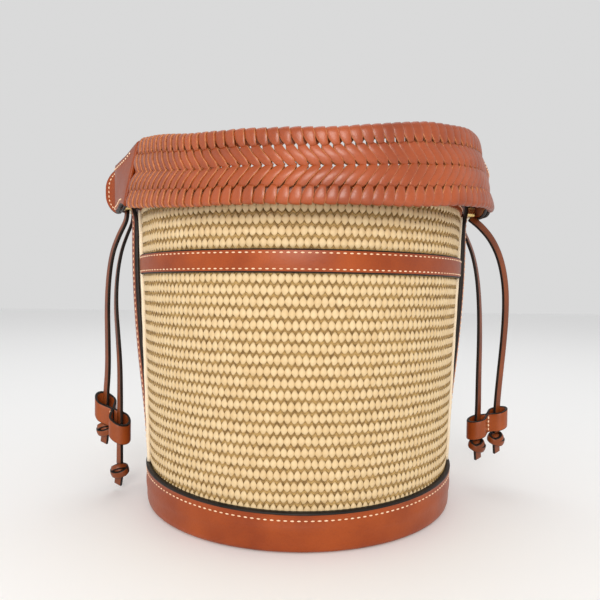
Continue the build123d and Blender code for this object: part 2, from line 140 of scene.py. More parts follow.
class Paint:
    """A node material with one Principled shader."""

    def __init__(self, name):
        self.material = bpy.data.materials.new(name)
        self.material.use_nodes = True
        self.tree = self.material.node_tree
        self.shader = self.tree.nodes["Principled BSDF"]
        self.coords = self.node("ShaderNodeTexCoord")

    def node(self, kind, settings=None, inputs=None):
        node = self.tree.nodes.new(kind)
        for key, value in (settings or {}).items():
            if key == "stops":
                ramp = node.color_ramp.elements
                while len(ramp) < len(value):
                    ramp.new(0.5)
                for element, (place, colour) in zip(ramp, value):
                    element.position = place
                    element.color = (*colour, 1.0)
            else:
                setattr(node, key, value)
        for key, value in (inputs or {}).items():
            self.put(node.inputs[key], value)
        return node

    def put(self, socket, value):
        if isinstance(value, Shade):
            self.tree.links.new(value.socket, socket)
        elif hasattr(value, "__len__") and len(value) == 3 and socket.type == "RGBA":
            socket.default_value = (*value, 1.0)
        else:
            socket.default_value = value

    def place(self, scale=(1.0, 1.0, 1.0), source="Object"):
        """Object or UV coordinates, scaled."""
        at = Shade(self, self.coords.outputs[source])
        node = self.node("ShaderNodeMapping", {}, {"Vector": at, "Scale": scale})
        return Shade(self, node.outputs[0])

    def noise(self, scale, detail=2.0, where=None, roughness=0.5):
        inputs = {"Scale": scale, "Detail": detail, "Roughness": roughness}
        inputs["Vector"] = where or Shade(self, self.coords.outputs["Object"])
        return Shade(self, self.node("ShaderNodeTexNoise", {}, inputs).outputs[0])

    def cells(self, scale):
        inputs = {"Scale": scale, "Vector": Shade(self, self.coords.outputs["Object"])}
        return Shade(self, self.node("ShaderNodeTexVoronoi", {}, inputs).outputs["Distance"])

    def ramp(self, value, *stops):
        node = self.node("ShaderNodeValToRGB", {"stops": stops}, {0: value})
        return Shade(self, node.outputs[0])

    def mix(self, factor, first, second):
        node = self.node("ShaderNodeMix", {"data_type": "RGBA"}, {0: factor, 6: first, 7: second})
        return Shade(self, node.outputs[2])

    def split(self, vector):
        node = self.node("ShaderNodeSeparateXYZ", {}, {0: vector})
        return [Shade(self, out) for out in node.outputs]

    def bump(self, height, strength, distance):
        inputs = {"Height": height, "Strength": strength, "Distance": distance}
        return Shade(self, self.node("ShaderNodeBump", {}, inputs).outputs[0])

    def done(self, **inputs):
        for name, value in inputs.items():
            self.put(self.shader.inputs[name.replace("_", " ")], value)
        return self.material


def leather(name, light, dark, rough=0.42, coat=0.07, shine=0.30):
    """Smooth finished leather: soft mottling, pores, and creases that break its shine."""
    p = Paint(name)
    mottle = p.noise(42.0, 4.0)
    patches = p.noise(11.0, 2.0)
    pores = p.cells(1250.0)
    wrinkle = p.noise(420.0, 5.0, roughness=0.62)
    tone = p.ramp(mottle * 0.6 + patches * 0.4, (0.35, dark), (0.62, light))
    tone = p.mix((pores * 1.1) ** 2.0 * 0.16, tone, tuple(c * 0.55 for c in dark))
    relief = pores * 0.55 + wrinkle * 0.9
    return p.done(
        Base_Color=tone,
        Roughness=wrinkle * 0.22 + (mottle * 0.12 + (rough - 0.17)),
        Coat_Weight=coat,
        Coat_Roughness=0.28,
        Specular_IOR_Level=shine,
        Normal=p.bump(relief, 0.35, 0.00022),
    )


def edge_paint(name):
    """Thick black edge paint with slight ripples and a soft shine."""
    p = Paint(name)
    ripple = p.noise(260.0, 3.0)
    tone = p.ramp(p.noise(70.0, 3.0), (0.3, (0.006, 0.004, 0.003)), (0.75, (0.020, 0.013, 0.009)))
    return p.done(
        Base_Color=tone,
        Roughness=ripple * 0.3 + 0.35,
        Specular_IOR_Level=0.25,
        Normal=p.bump(ripple, 0.4, 0.0003),
    )


def raw_edge(name):
    """The cut edge of a leather strip: paler and fibrous."""
    p = Paint(name)
    fibre = p.noise(900.0, 4.0)
    tone = p.ramp(fibre, (0.3, (0.36, 0.105, 0.032)), (0.7, (0.58, 0.22, 0.085)))
    return p.done(Base_Color=tone, Roughness=0.62, Normal=p.bump(fibre, 0.4, 0.0002))


def thread(name):
    """Waxed cream sewing thread with its twist."""
    p = Paint(name)
    twist = p.noise(1500.0, 2.0)
    tone = p.ramp(p.noise(140.0, 2.0), (0.3, (0.80, 0.50, 0.30)), (0.7, (0.93, 0.69, 0.48)))
    return p.done(Base_Color=tone, Roughness=0.55, Normal=p.bump(twist, 0.5, 0.0002))


def raffia(name):
    """Cream flat strands, turning brown at their tips and along their sides as painted shade where they dip
    under their neighbours, with fine lengthwise fibres.
    """
    p = Paint(name)
    across, along, _ = p.split(p.place(source="UV"))
    fibres = p.noise(1.0, 3.0, where=p.place((2600.0, 2600.0, 240.0)))
    batch = p.noise(150.0, 2.0)
    # tip and side are masks for painted shade: brown creeps in from the strand's ends and edges, where it
    # dips under the strands round it
    tip = ((along - 0.5) * 2.0) ** 2.0
    side = ((across - 0.5) * 2.0) ** 2.0
    cream = p.ramp(batch, (0.3, (0.63, 0.45, 0.235)), (0.7, (0.72, 0.55, 0.32)))
    # painted shade: the strand turns brown towards its tips, then a darker brown along its sides
    tone = p.mix(p.ramp(tip, (0.35, (0, 0, 0)), (0.95, (0.85, 0.85, 0.85))), cream, (0.42, 0.26, 0.09))
    tone = p.mix(side ** 3.0 * 0.6, tone, (0.38, 0.235, 0.085))
    tone = p.mix(fibres * 0.30, tone, (0.52, 0.35, 0.15))
    return p.done(
        Base_Color=tone,
        Roughness=fibres * 0.25 + 0.45,
        Sheen_Weight=0.15,
        Normal=p.bump(fibres, 0.5, 0.0003),
    )


def weave_ground_shade(name):
    """Brown weft, darkened as painted shade, seen between the cream strands."""
    p = Paint(name)
    rows = p.noise(1.0, 4.0, where=p.place((900.0, 900.0, 2200.0)))
    patch = p.noise(90.0, 3.0)
    # painted shade: the dark end of this ramp stands for the shade in the gaps between the strands
    tone = p.ramp(rows * 0.7 + patch * 0.3, (0.35, (0.13, 0.070, 0.016)), (0.65, (0.30, 0.175, 0.048)))
    return p.done(Base_Color=tone, Roughness=0.72, Normal=p.bump(rows, 0.8, 0.0004))


def weft(name):
    """Olive-brown split strands that zigzag between the cream rows."""
    p = Paint(name)
    fibres = p.noise(1.0, 3.0, where=p.place((2200.0, 2200.0, 700.0)))
    batch = p.noise(330.0, 2.0)
    tone = p.ramp(batch * 0.7 + fibres * 0.3, (0.36, (0.18, 0.098, 0.022)), (0.62, (0.43, 0.27, 0.088)))
    return p.done(Base_Color=tone, Roughness=0.6, Normal=p.bump(fibres, 0.6, 0.0003))


def cloth(name, light, dark, pitch=0.0008):
    """Plain woven cotton."""
    p = Paint(name)
    x, y, z = p.split(p.place())
    turn = 2 * math.pi / pitch
    ribs = (x + y).math("SINE", (x + y) * turn) * 0.5 + 0.5
    picks = z.math("SINE", z * turn) * 0.5 + 0.5
    relief = ribs * 0.5 + picks * 0.5
    tone = p.mix(p.noise(60.0, 3.0) * 0.6 + relief * 0.35, dark, light)
    return p.done(Base_Color=tone, Roughness=0.85, Sheen_Weight=0.2, Normal=p.bump(relief, 0.5, 0.0003))


def brass(name):
    """Polished light brass with fine wear."""
    p = Paint(name)
    wear = p.noise(340.0, 4.0)
    tone = p.ramp(wear, (0.35, (0.52, 0.35, 0.12)), (0.7, (0.78, 0.58, 0.26)))
    relief = p.bump(wear, 0.1, 0.0001)
    return p.done(Base_Color=tone, Metallic=1.0, Roughness=wear * 0.25 + 0.12, Normal=relief)


TAN = (0.345, 0.062, 0.006)
TAN_DARK = (0.225, 0.033, 0.003)
paint_tan = leather("tan_leather", TAN, TAN_DARK)
paint_braid = leather(
    "braid_leather", (0.355, 0.068, 0.013), (0.215, 0.034, 0.005), rough=0.38, coat=0.15, shine=0.45
)
paint_cord = leather("cord_leather", (0.24, 0.055, 0.011), (0.13, 0.028, 0.006), rough=0.40)
paint_slide = leather("slide_leather", (0.34, 0.075, 0.015), (0.22, 0.045, 0.008), rough=0.38)
paint_sole = leather("sole_leather", (0.36, 0.12, 0.035), (0.25, 0.075, 0.02), rough=0.6, coat=0.0)
paint_black = edge_paint("edge_paint")
paint_raw = raw_edge("cut_leather_edge")
paint_thread = thread("cream_thread")
paint_raffia = raffia("raffia_strands")
paint_ground_shade = weave_ground_shade("weave_ground_shade")
paint_weft = weft("brown_weft")
paint_piping = cloth("cream_piping", (0.87, 0.74, 0.56), (0.74, 0.60, 0.42), 0.0011)
paint_lining = cloth("lining_cloth", (0.42, 0.29, 0.16), (0.30, 0.20, 0.10))
paint_board = cloth("stiff_board", (0.30, 0.22, 0.15), (0.22, 0.16, 0.11))
paint_brass = brass("polished_brass")

TRIM = (paint_tan, paint_black)


# ---------------------------------------------------------------- making pieces
def piece(name, bm, paints, body, replaces=(), recalc=True):
    """Finishes a bmesh as a named piece that rides on a body."""
    bmesh.ops.remove_doubles(bm, verts=bm.verts, dist=1e-6)
    if recalc:
        bmesh.ops.recalc_face_normals(bm, faces=bm.faces)
    mesh = bpy.data.meshes.new(name)
    bm.to_mesh(mesh)
    bm.free()
    mesh.polygons.foreach_set("use_smooth", [True] * len(mesh.polygons))
    obj = bpy.data.objects.new(name, mesh)
    bpy.context.scene.collection.objects.link(obj)
    for paint in paints:
        mesh.materials.append(paint)
    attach(obj, body)
    if replaces:
        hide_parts(*replaces)
    return obj


def strap(
    bm, width, length, thick, across, along, shape, rounding=0.0, side=EDGE, dome=0.0, bare=False
):
    """A flat strap made in the plane, its cut sides in another material, then laid where shape says.

    shape(x, y, z) gets x across from -0.5 to 0.5, y along from 0 to 1, and z out of the strap in metres.
    A bare strap has no edge paint at its start, where something covers it.
    """
    new = bmesh.ops.create_grid(bm, x_segments=across, y_segments=along, size=0.5)["verts"]
    for vert in new:
        vert.co = Vector((vert.co.x * width, (vert.co.y + 0.5) * length, 0.0))
    faces = list({face for vert in new for face in vert.link_faces})
    solid = bmesh.ops.solidify(bm, geom=faces, thickness=thick)["geom"]
    verts = {v for v in solid if isinstance(v, bmesh.types.BMVert)} | {v for v in new if v.is_valid}
    verts |= {v for f in solid if isinstance(f, bmesh.types.BMFace) for v in f.verts}
    faces = {f for v in verts for f in v.link_faces}
    bmesh.ops.recalc_face_normals(bm, faces=list(faces))
    middle = (min(v.co.z for v in verts) + max(v.co.z for v in verts)) / 2
    sides = [f for f in faces if abs(f.normal.z) < 0.5]
    for face in sides:
        starts = face.calc_center_median().y < 1e-5
        face.material_index = LEATHER if bare and starts else side
    if rounding:
        rims = {e for f in sides for e in f.edges if any(g not in sides for g in e.link_faces)}
        made = bmesh.ops.bevel(
            bm, geom=list(rims), offset=rounding, segments=2, profile=0.5, affect="EDGES", material=side
        )
        verts = {v for v in verts if v.is_valid} | set(made["verts"])
    for face in {f for v in verts if bare for f in v.link_faces}:
        at = face.calc_center_median()
        if at.y < rounding and abs(at.x) < width / 2 - rounding:
            face.material_index = LEATHER
    for vert in verts:
        x, y, z = vert.co.x / width, vert.co.y / length, vert.co.z - middle
        z += dome * (1 - 4 * x * x) * (1 if z > 0 else 0.4)
        vert.co = shape(x, y, z)
    return verts


def stitches(bm, at, out, count, long=2.3 * MM, wide=0.42 * MM, high=0.34 * MM):
    """Short raised stitches along a line: at(t) is a point and out(t) a normal, for t from 0 to 1."""
    for i in range(count):
        t = (i + 0.5) / count
        step = 0.2 / count
        run = (at(t + step) - at(t - step)).normalized()
        up = out(t).normalized()
        side = up.cross(run).normalized()
        up = run.cross(side)
        place = Matrix((run, side, up)).transposed().to_4x4()
        place.translation = at(t)
        size = Matrix.Diagonal((long / 2, wide, high, 1.0))
        bmesh.ops.create_uvsphere(bm, u_segments=6, v_segments=4, radius=1.0, matrix=place @ size)


def thread_piece(name, rows):
    """Rows of stitches on the bag as one piece; a row is its point and normal functions and its length."""
    bm = bmesh.new()
    for at, out, length in rows:
        stitches(bm, at, out, round(length / STITCH_PITCH))
    piece(name, bm, (paint_thread,), "bag")


# ---------------------------------------------------------------- camera and light
def make_view():
    """The camera close in front, a little to the left, and soft light from the front and above."""
    far, high = 0.385, 0.1355
    swing, tip, roll = math.radians(3.5), math.radians(1.1), math.radians(0.7)
    data = bpy.data.cameras.new("view")
    data.sensor_width = 36.0
    data.lens = 33.9
    data.clip_start = 0.01
    camera = bpy.data.objects.new("view", data)
    bpy.context.scene.collection.objects.link(camera)
    camera.location = (-far * math.sin(swing), -far * math.cos(swing), high)
    look = Matrix.Rotation(-swing, 4, "Z") @ Matrix.Rotation(math.pi / 2 - tip, 4, "X")
    camera.rotation_euler = (look @ Matrix.Rotation(roll, 4, "Z")).to_euler()
    bpy.context.scene.camera = camera

    floor = bpy.data.objects.new("floor", bpy.data.meshes.new("floor"))
    bm = bmesh.new()
    bmesh.ops.create_grid(bm, x_segments=1, y_segments=1, size=3.0)
    bm.to_mesh(floor.data)
    bm.free()
    p = Paint("pale_floor")
    floor.data.materials.append(p.done(Base_Color=(0.93, 0.93, 0.93), Roughness=0.7))
    bpy.context.scene.collection.objects.link(floor)

    lamps = (
        ("key_light", (-0.12, -1.05, 0.42), 0.42, 7.0, (1.0, 0.965, 0.915)),
        ("left_fill", (-1.3, -0.5, 0.55), 0.9, 1.2, (1.0, 1.0, 1.0)),
        ("right_fill", (1.3, -0.3, 0.6), 0.9, 1.2, (1.0, 1.0, 1.0)),
        ("top_light", (0.0, 0.5, 1.5), 1.2, 4.0, (1.0, 1.0, 1.0)),
    )
    for name, place, size, power, tint in lamps:
        light = bpy.data.lights.new(name, "AREA")
        light.size = size
        light.energy = power
        light.color = tint
        lamp = bpy.data.objects.new(name, light)
        lamp.location = place
        lamp.rotation_euler = (Vector((0, 0, 0.11)) - Vector(place)).to_track_quat("-Z", "Y").to_euler()
        bpy.context.scene.collection.objects.link(lamp)
    world = bpy.data.worlds.new("studio")
    world.use_nodes = True
    world.node_tree.nodes["Background"].inputs["Color"].default_value = (1.0, 1.0, 1.0, 1.0)
    world.node_tree.nodes["Background"].inputs["Strength"].default_value = 0.70
    bpy.context.scene.world = world
    bpy.context.scene.view_settings.view_transform = "Standard"


# ---------------------------------------------------------------- drawcords, knots and slides
CORD_W = 5.0 * MM
CORD_T = 2.0 * MM
CORD_ROUTES = {
    "drawcord_left_outer": (
        (-114.3, -8.0, 185.2), (-114.3, -8.0, 181.4), (-115.6, -8.1, 177.0), (-119.2, -8.2, 169.8),
        (-123.8, -7.6, 158.0), (-126.5, -6.2, 141.0), (-127.9, -3.6, 120.5), (-128.3, 0.0, 99.0),
        (-128.9, 3.0, 79.0), (-130.9, 5.3, 60.0), (-130.9, 5.3, 43.3),
    ),
    "drawcord_left_inner": (
        (-114.3, 8.0, 185.2), (-114.3, 8.0, 181.6), (-115.4, 8.1, 177.4), (-118.4, 8.2, 170.2),
        (-122.0, 7.9, 159.4), (-124.4, 6.9, 143.0), (-124.6, 5.0, 123.5), (-122.4, 2.2, 104.0),
        (-120.0, -1.4, 84.0), (-119.0, -4.2, 64.0), (-118.9, -4.8, 46.0), (-118.8, -4.8, 31.0),
        (-118.8, -4.8, 18.1),
    ),
    "drawcord_right_outer": (
        (114.3, -8.0, 185.2), (117.2, -8.2, 183.0), (122.4, -8.6, 178.6), (129.4, -8.8, 170.6),
        (135.8, -8.6, 157.6), (139.8, -7.8, 140.0), (141.0, -6.2, 121.0), (140.8, -3.9, 100.5),
        (140.0, -1.4, 80.0), (139.2, 0.5, 61.0), (138.8, 0.9, 49.6), (138.8, 0.9, 36.5),
    ),
    "drawcord_right_inner": (
        (114.3, 8.0, 185.2), (114.3, 8.0, 181.6), (115.6, 8.1, 177.6), (119.0, 8.2, 170.8),
        (123.2, 8.0, 160.0), (126.2, 7.1, 143.5), (127.2, 5.2, 122.0), (126.6, 2.6, 98.0),
        (125.3, 0.0, 76.0), (124.8, -1.5, 56.0), (124.4, -1.6, 43.8), (124.4, -1.6, 32.8),
    ),
}
# The turn of the flat cord's face about its run, from facing straight out of the side, in degrees.
CORD_FACING = {
    "drawcord_left_outer": (30.0, 48.0),
    "drawcord_left_inner": (14.0, 50.0),
    "drawcord_right_outer": (-66.0, -60.0),
    "drawcord_right_inner": (-30.0, -56.0),
}


def smooth_line(points):
    """Points along the smooth curve that has the given control points."""
    data = bpy.data.curves.new("line", "CURVE")
    data.dimensions = "3D"
    spline = data.splines.new("NURBS")
    spline.points.add(len(points) - 1)
    for control, point in zip(spline.points, points):
        control.co = (*(Vector(point) * MM), 1.0)
    spline.order_u = 3
    spline.use_endpoint_u = True
    data.resolution_u = 10
    holder = bpy.data.objects.new("line", data)
    mesh = bpy.data.meshes.new_from_object(holder)
    line = [v.co.copy() for v in mesh.vertices]
    bpy.data.objects.remove(holder)
    bpy.data.meshes.remove(mesh)
    return line


def along_line(line):
    """A function from 0..1 to the point, run and distance on a line of points."""
    steps = [0.0]
    for a, b in zip(line, line[1:]):
        steps.append(steps[-1] + (b - a).length)
    total = steps[-1]

    def at(t):
        want = min(max(t, 0.0), 1.0) * total
        i = 0
        while i < len(steps) - 2 and steps[i + 1] < want:
            i += 1
        u = (want - steps[i]) / max(steps[i + 1] - steps[i], 1e-9)
        before = line[max(i - 1, 0)]
        after = line[min(i + 2, len(line) - 1)]
        return line[i].lerp(line[i + 1], u), (after - before).normalized()

    return at, total


def make_cord(name):
    """One flat leather tail: brown face, black edges."""
    line = smooth_line(CORD_ROUTES[name])
    at, total = along_line(line)
    side = -1.0 if "left" in name else 1.0
    start, end = CORD_FACING[name]

    def shape(x, y, z):
        point, run = at(y)
        facing = Vector((side, 0.0, 0.0))
        facing.rotate(Euler((0, 0, math.radians(start + (end - start) * y))))
        facing = (facing - run * facing.dot(run)).normalized()
        across = run.cross(facing)
        return point + across * (x * CORD_W) + facing * z

    bm = bmesh.new()
    strap(bm, CORD_W, total, CORD_T, 3, 110, shape, rounding=0.35 * MM)
    cord = piece(name, bm, (paint_cord, paint_black), "bag", (name,))
    knot = make_knot(name.replace("drawcord", "knot"), line[-1], side)
    tuple(line[0])
    [tuple(p) for p in line]


def make_knot(name, top, side):
    """An overhand knot of flat cord: two bands round a core, and the short end below."""
    lowest = Vector(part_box(name)[0]).z
    centre = top - Vector((0, 0, 3.75 * MM))
    turn_t, tail_w, tail_len = 1.9 * MM, 5.6 * MM, 9.5 * MM
    bm = bmesh.new()
    core = bmesh.ops.create_uvsphere(bm, u_segments=16, v_segments=10, radius=1.0)["verts"]
    for vert in core:
        vert.co = centre + Vector((vert.co.x * 4.0, vert.co.y * 4.0, vert.co.z * 3.5)) * MM
    # each band: radius, width, tilt in degrees, lift, and turn in radians
    bands = ((4.5, 4.6, 18.0, -0.6, 0.0), (4.1, 3.4, -34.0, 1.3, 1.3))
    for radius, width, tilt, lift, turn in bands:
        lean = Euler((math.radians(tilt), math.radians(tilt * 0.4) * side, turn + side * 0.3))

        def wrap(x, y, z, radius=radius, width=width, lean=lean, lift=lift):
            angle = y * 2 * math.pi
            bulge = 0.55 * math.cos(2 * angle)
            r = (radius + bulge) * MM + z
            local = Vector((r * math.cos(angle), r * math.sin(angle), x * width * MM))
            local.z += 0.7 * MM * math.sin(angle)
            local.rotate(lean)
            return centre + Vector((0, 0, lift * MM)) + local

        strap(bm, width * MM, 28 * MM, turn_t, 4, 36, wrap, rounding=0.45 * MM, dome=0.35 * MM)
    tail_top = centre - Vector((0, 0, 1.5 * MM))
    lean = Euler((math.radians(9), math.radians(-16) * side, math.radians(28) * side))
    reach = tail_top.z - lowest

    def tail(x, y, z):
        local = Vector((x * tail_w, z, -y * min(tail_len, reach)))
        local.rotate(lean)
        return tail_top + local

    strap(bm, tail_w, tail_len, turn_t, 3, 5, tail, rounding=0.35 * MM)
    return piece(name, bm, (paint_cord, paint_black), "bag", (name,))


# Each slide: its centre in mm, and the turn of its long axis about Z and rise of its outer loop in degrees.
SLIDES = {
    "slide_left": ((-124.9, 0.2, 48.0), -40.0, 34.0),
    "slide_right": ((131.7, -0.4, 43.9), 10.0, 18.0),
}


def make_slide(name):
    """Two leather loops side by side from one strip, pinched and sewn in the middle."""
    (cx, cy, cz), turn, rise = SLIDES[name]
    side = -1.0 if "left" in name else 1.0
    slope = math.tan(math.radians(rise)) * side
    pitch, loop_r, waist, thick, high = 7.2 * MM, 6.6 * MM, 0.95 * MM, 1.6 * MM, 12.6 * MM
    place = Matrix.Translation(Vector((cx, cy, cz)) * MM) @ Matrix.Rotation(math.radians(turn), 4, "Z")

    def outline(t):
        """The strip's middle line: two rounded loops with a waist."""
        turned = t * 2 * math.pi
        x = -(pitch + loop_r) * math.sin(turned)
        if abs(x) < pitch:
            y = waist + (loop_r - waist) * math.sin(abs(x) / pitch * math.pi / 2) ** 1.6
        else:
            bulge = loop_r * math.sqrt(max(1 - ((abs(x) - pitch) / loop_r) ** 2, 0.0))
            y = math.hypot(bulge, waist * math.sqrt(smooth(9 * MM, 2 * MM, abs(x))))
        return Vector((x, y if math.cos(turned) >= 0 else -y, 0.0))

    samples = [outline(i / 96) for i in range(97)]
    at, total = along_line(samples)

    def shape(x, y, z):
        point, run = at(y)
        normal = Vector((run.y, -run.x, 0.0)).normalized()
        point = point + normal * z
        point.z = x * high + point.x * slope
        return place @ point

    bm = bmesh.new()
    strap(bm, high, total, thick, 6, 96, shape, rounding=0.45 * MM)
    piece(name, bm, (paint_slide, paint_black), name, (name,))

    bm = bmesh.new()
    for facing in (1, -1):
        def at_row(t, facing=facing):
            return place @ Vector((0.0, -facing * (waist + thick * 0.62), (0.42 - 0.84 * t) * high))

        def out(t, facing=facing):
            return place.to_3x3() @ Vector((0.0, -facing, 0.0))

        stitches(bm, at_row, out, 4, long=2.4 * MM, wide=0.55 * MM, high=0.45 * MM)
    piece(name + "_stitches", bm, (paint_thread,), name)


# ---------------------------------------------------------------- woven walls
COLUMN = 3.62 * MM
ROW = 5.95 * MM
STRAND_HALF_W = 0.52 * COLUMN
STRAND_RISE = 1.15 * MM
WEAVE_LOW_Z = 19.0 * MM


def repeat(bm, *steps):
    """The same shape again and again: (count, step) along each direction."""
    mesh = bpy.data.meshes.new("repeat")
    bm.to_mesh(mesh)
    bm.free()
    holder = bpy.data.objects.new("repeat", mesh)
    bpy.context.scene.collection.objects.link(holder)
    for count, step in steps:
        array = holder.modifiers.new("repeat", "ARRAY")
        array.count = count
        array.use_relative_offset = False
        array.use_constant_offset = True
        array.constant_offset_displace = step
    flat = bpy.data.meshes.new_from_object(holder.evaluated_get(bpy.context.evaluated_depsgraph_get()))
    bpy.data.objects.remove(holder)
    bm = bmesh.new()
    bm.from_mesh(flat)
    bpy.data.meshes.remove(flat)
    return bm


def wrap_cloth(cell, columns, row_pairs, top_z, half, turn):
    """Repeats a cell of two rows over a panel and wraps it round the wall, with the drift of hand work."""
    bm = repeat(cell, (columns, (COLUMN, 0, 0)), (row_pairs, (0, 2 * ROW, 0)))
    width = columns * COLUMN
    for vert in bm.verts:
        u, v, n = vert.co
        wobble = noise.noise(Vector((u * 90, v * 90, turn)))
        shift = noise.noise(Vector((u * 420, v * 700, turn + 5)))
        angle = (u / width - 0.5) * 2 * half
        z = WEAVE_LOW_Z + v + (wobble * 0.45 + shift * 0.3) * MM
        vert.co = wall_point(angle + shift * 0.0026, min(z, top_z), n + wobble * 0.15 * MM, turn)
    return bm


def make_weave(face, turn):
    """Staggered spindle-shaped strands over a dark brown ground of painted shade, wrapped round half of the
    bag.
    """
    arc_r = (WALL_FOOT_R + WALL_TOP_R) / 2
    half = PANEL_HALF_ANGLE - 0.012
    columns = int(2 * half * arc_r / COLUMN)
    top_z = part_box("rim_binding")[1][2] - 1.5 * MM
    row_pairs = int((top_z - WEAVE_LOW_Z) / ROW) // 2 + 1
    bm = bmesh.new()
    uv = bm.loops.layers.uv.new("strand")
    uv_of = {}
    for odd in (0, 1):
        made = bmesh.ops.create_grid(bm, x_segments=4, y_segments=8, size=0.5)["verts"]
        for vert in made:
            a, b = vert.co.x * 2, vert.co.y * 2
            uv_of[vert] = (a * 0.5 + 0.5, b * 0.5 + 0.5)
            wide = STRAND_HALF_W * (1 - abs(b) ** 1.5) ** 0.85 + 0.05 * MM
            rise = (1 - 0.6 * a * a) * (1 - abs(b) ** 2.0)
            vert.co.x = a * wide + (odd * 0.5 + 0.25) * COLUMN
            vert.co.y = b * ROW * (0.56 if b > 0 else 0.49) + (odd + 0.47) * ROW
            vert.co.z = rise * STRAND_RISE - 0.15 * MM
    for f in bm.faces:
        for loop in f.loops:
            loop[uv].uv = uv_of[loop.vert]
    bm = wrap_cloth(bm, columns, row_pairs, top_z, half, turn)
    panel = (f"woven_{face}_panel",)
    weave = piece(f"woven_{face}_strands", bm, (paint_raffia,), "bag", panel, recalc=False)
    first = weave.data.polygons[0]
    if first.normal.dot(Vector((first.center.x, first.center.y, 0))) < 0:
        weave.data.flip_normals()

    bm = bmesh.new()
    for odd in (0, 1):
        for lean in (-1, 1):
            made = bmesh.ops.create_grid(bm, x_segments=3, y_segments=3, size=0.5)["verts"]
            for vert in made:
                across, along = vert.co.x * 2, vert.co.y
                # each one runs from above the tip of the strand below to under the tip of the one above
                vert.co.x = (0.5 * odd + (0.5 if lean < 0 else 1.0) + along * 0.62) * COLUMN
                vert.co.y = (odd + 1.0) * ROW + lean * along * 2.0 * MM + across * 0.7 * MM
                vert.co.z = (0.62 - 0.6 * across * across + 0.12 * lean) * MM
    bm = wrap_cloth(bm, columns, row_pairs, top_z, half, turn)
    piece(f"woven_{face}_zigzag", bm, (paint_weft,), "bag", recalc=False)

    # the ground: a dark sheet just under the strands, painted shade where the gaps between them show
    bm = bmesh.new()

    def ground(x, y, z):
        return wall_point(x * 2 * half, WALL_FOOT_Z + y * (top_z - WALL_FOOT_Z), z - 1.25 * MM, turn)

    strap(bm, 2 * half * arc_r, top_z - WALL_FOOT_Z, 2.2 * MM, 96, 4, ground, side=LEATHER)
    piece(f"woven_{face}_ground", bm, (paint_ground_shade,), "bag")


def make_band(face, turn):
    """The leather band across a panel, with its two stitch rows."""
    low, high = (Vector(corner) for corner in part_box("front_band"))
    middle, tall = (low.z + high.z) / 2, high.z - low.z
    thick, off_wall, stitch_rise = 1.75 * MM, 0.9 * MM, 0.12 * MM
    half = math.acos(-high.y / wall_r(middle))
    length = 2 * half * wall_r(middle)

    def shape(x, y, z):
        return wall_point((y - 0.5) * 2 * half, middle + x * tall, z + thick / 2 + off_wall, turn)

    bm = bmesh.new()
    strap(bm, tall, length, thick, 6, 100, shape, rounding=0.82 * MM, dome=0.35 * MM)
    piece(f"{face}_band", bm, TRIM, "bag", (f"{face}_band",))
    rows = []
    for height in (-0.335, 0.335):
        def at(t, height=height):
            level, rise = middle + height * tall, off_wall + thick + stitch_rise
            return wall_point((t - 0.5) * 1.985 * half, level, rise, turn)

        def out(t):
            return ring_point(1.0, (t - 0.5) * 2 * half + turn)

        rows.append((at, out, length))
    thread_piece(f"{face}_band_stitches", rows)


def make_piping(face, side):
    """A cream cloth-covered cord along one edge of a panel."""
    node = f"piping_{face}_{side}"
    low, high = (Vector(corner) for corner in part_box(node))
    y = (low.y + high.y) / 2
    sign = 1.0 if side == "right" else -1.0
    radius, off_wall, twists = 1.3 * MM, 1.55 * MM, 52

    def at(z):
        r = wall_r(z) + off_wall
        return Vector((sign * math.sqrt(r * r - y * y), y, z))

    bm = bmesh.new()
    rings, around = 60, 10
    made = bmesh.ops.create_grid(bm, x_segments=around, y_segments=rings, size=0.5)["verts"]
    for vert in made:
        angle, share = (vert.co.x + 0.5) * 2 * math.pi, vert.co.y + 0.5
        centre = at(low.z + share * (high.z - low.z))
        twist = 1 + 0.06 * math.sin(angle + share * 2 * math.pi * twists)
        outward = Vector((centre.x, centre.y, 0)).normalized()
        along_y = Vector((-outward.y, outward.x, 0))
        vert.co = centre + (outward * math.cos(angle) + along_y * math.sin(angle)) * radius * twist
    bmesh.ops.remove_doubles(bm, verts=bm.verts, dist=1e-6)
    bmesh.ops.holes_fill(bm, edges=bm.edges, sides=0)
    piece(node, bm, (paint_piping,), "bag", (node,))


# ---------------------------------------------------------------- base and side straps
BASE_FRONT_Z = 21.8 * MM
BASE_SIDE_Z = 25.4 * MM
BASE_R = 100.1 * MM


def base_top(x):
    """Height of the base band's top edge, which rises towards the sides."""
    return BASE_FRONT_Z + (BASE_SIDE_Z - BASE_FRONT_Z) * (x / BASE_R) ** 2


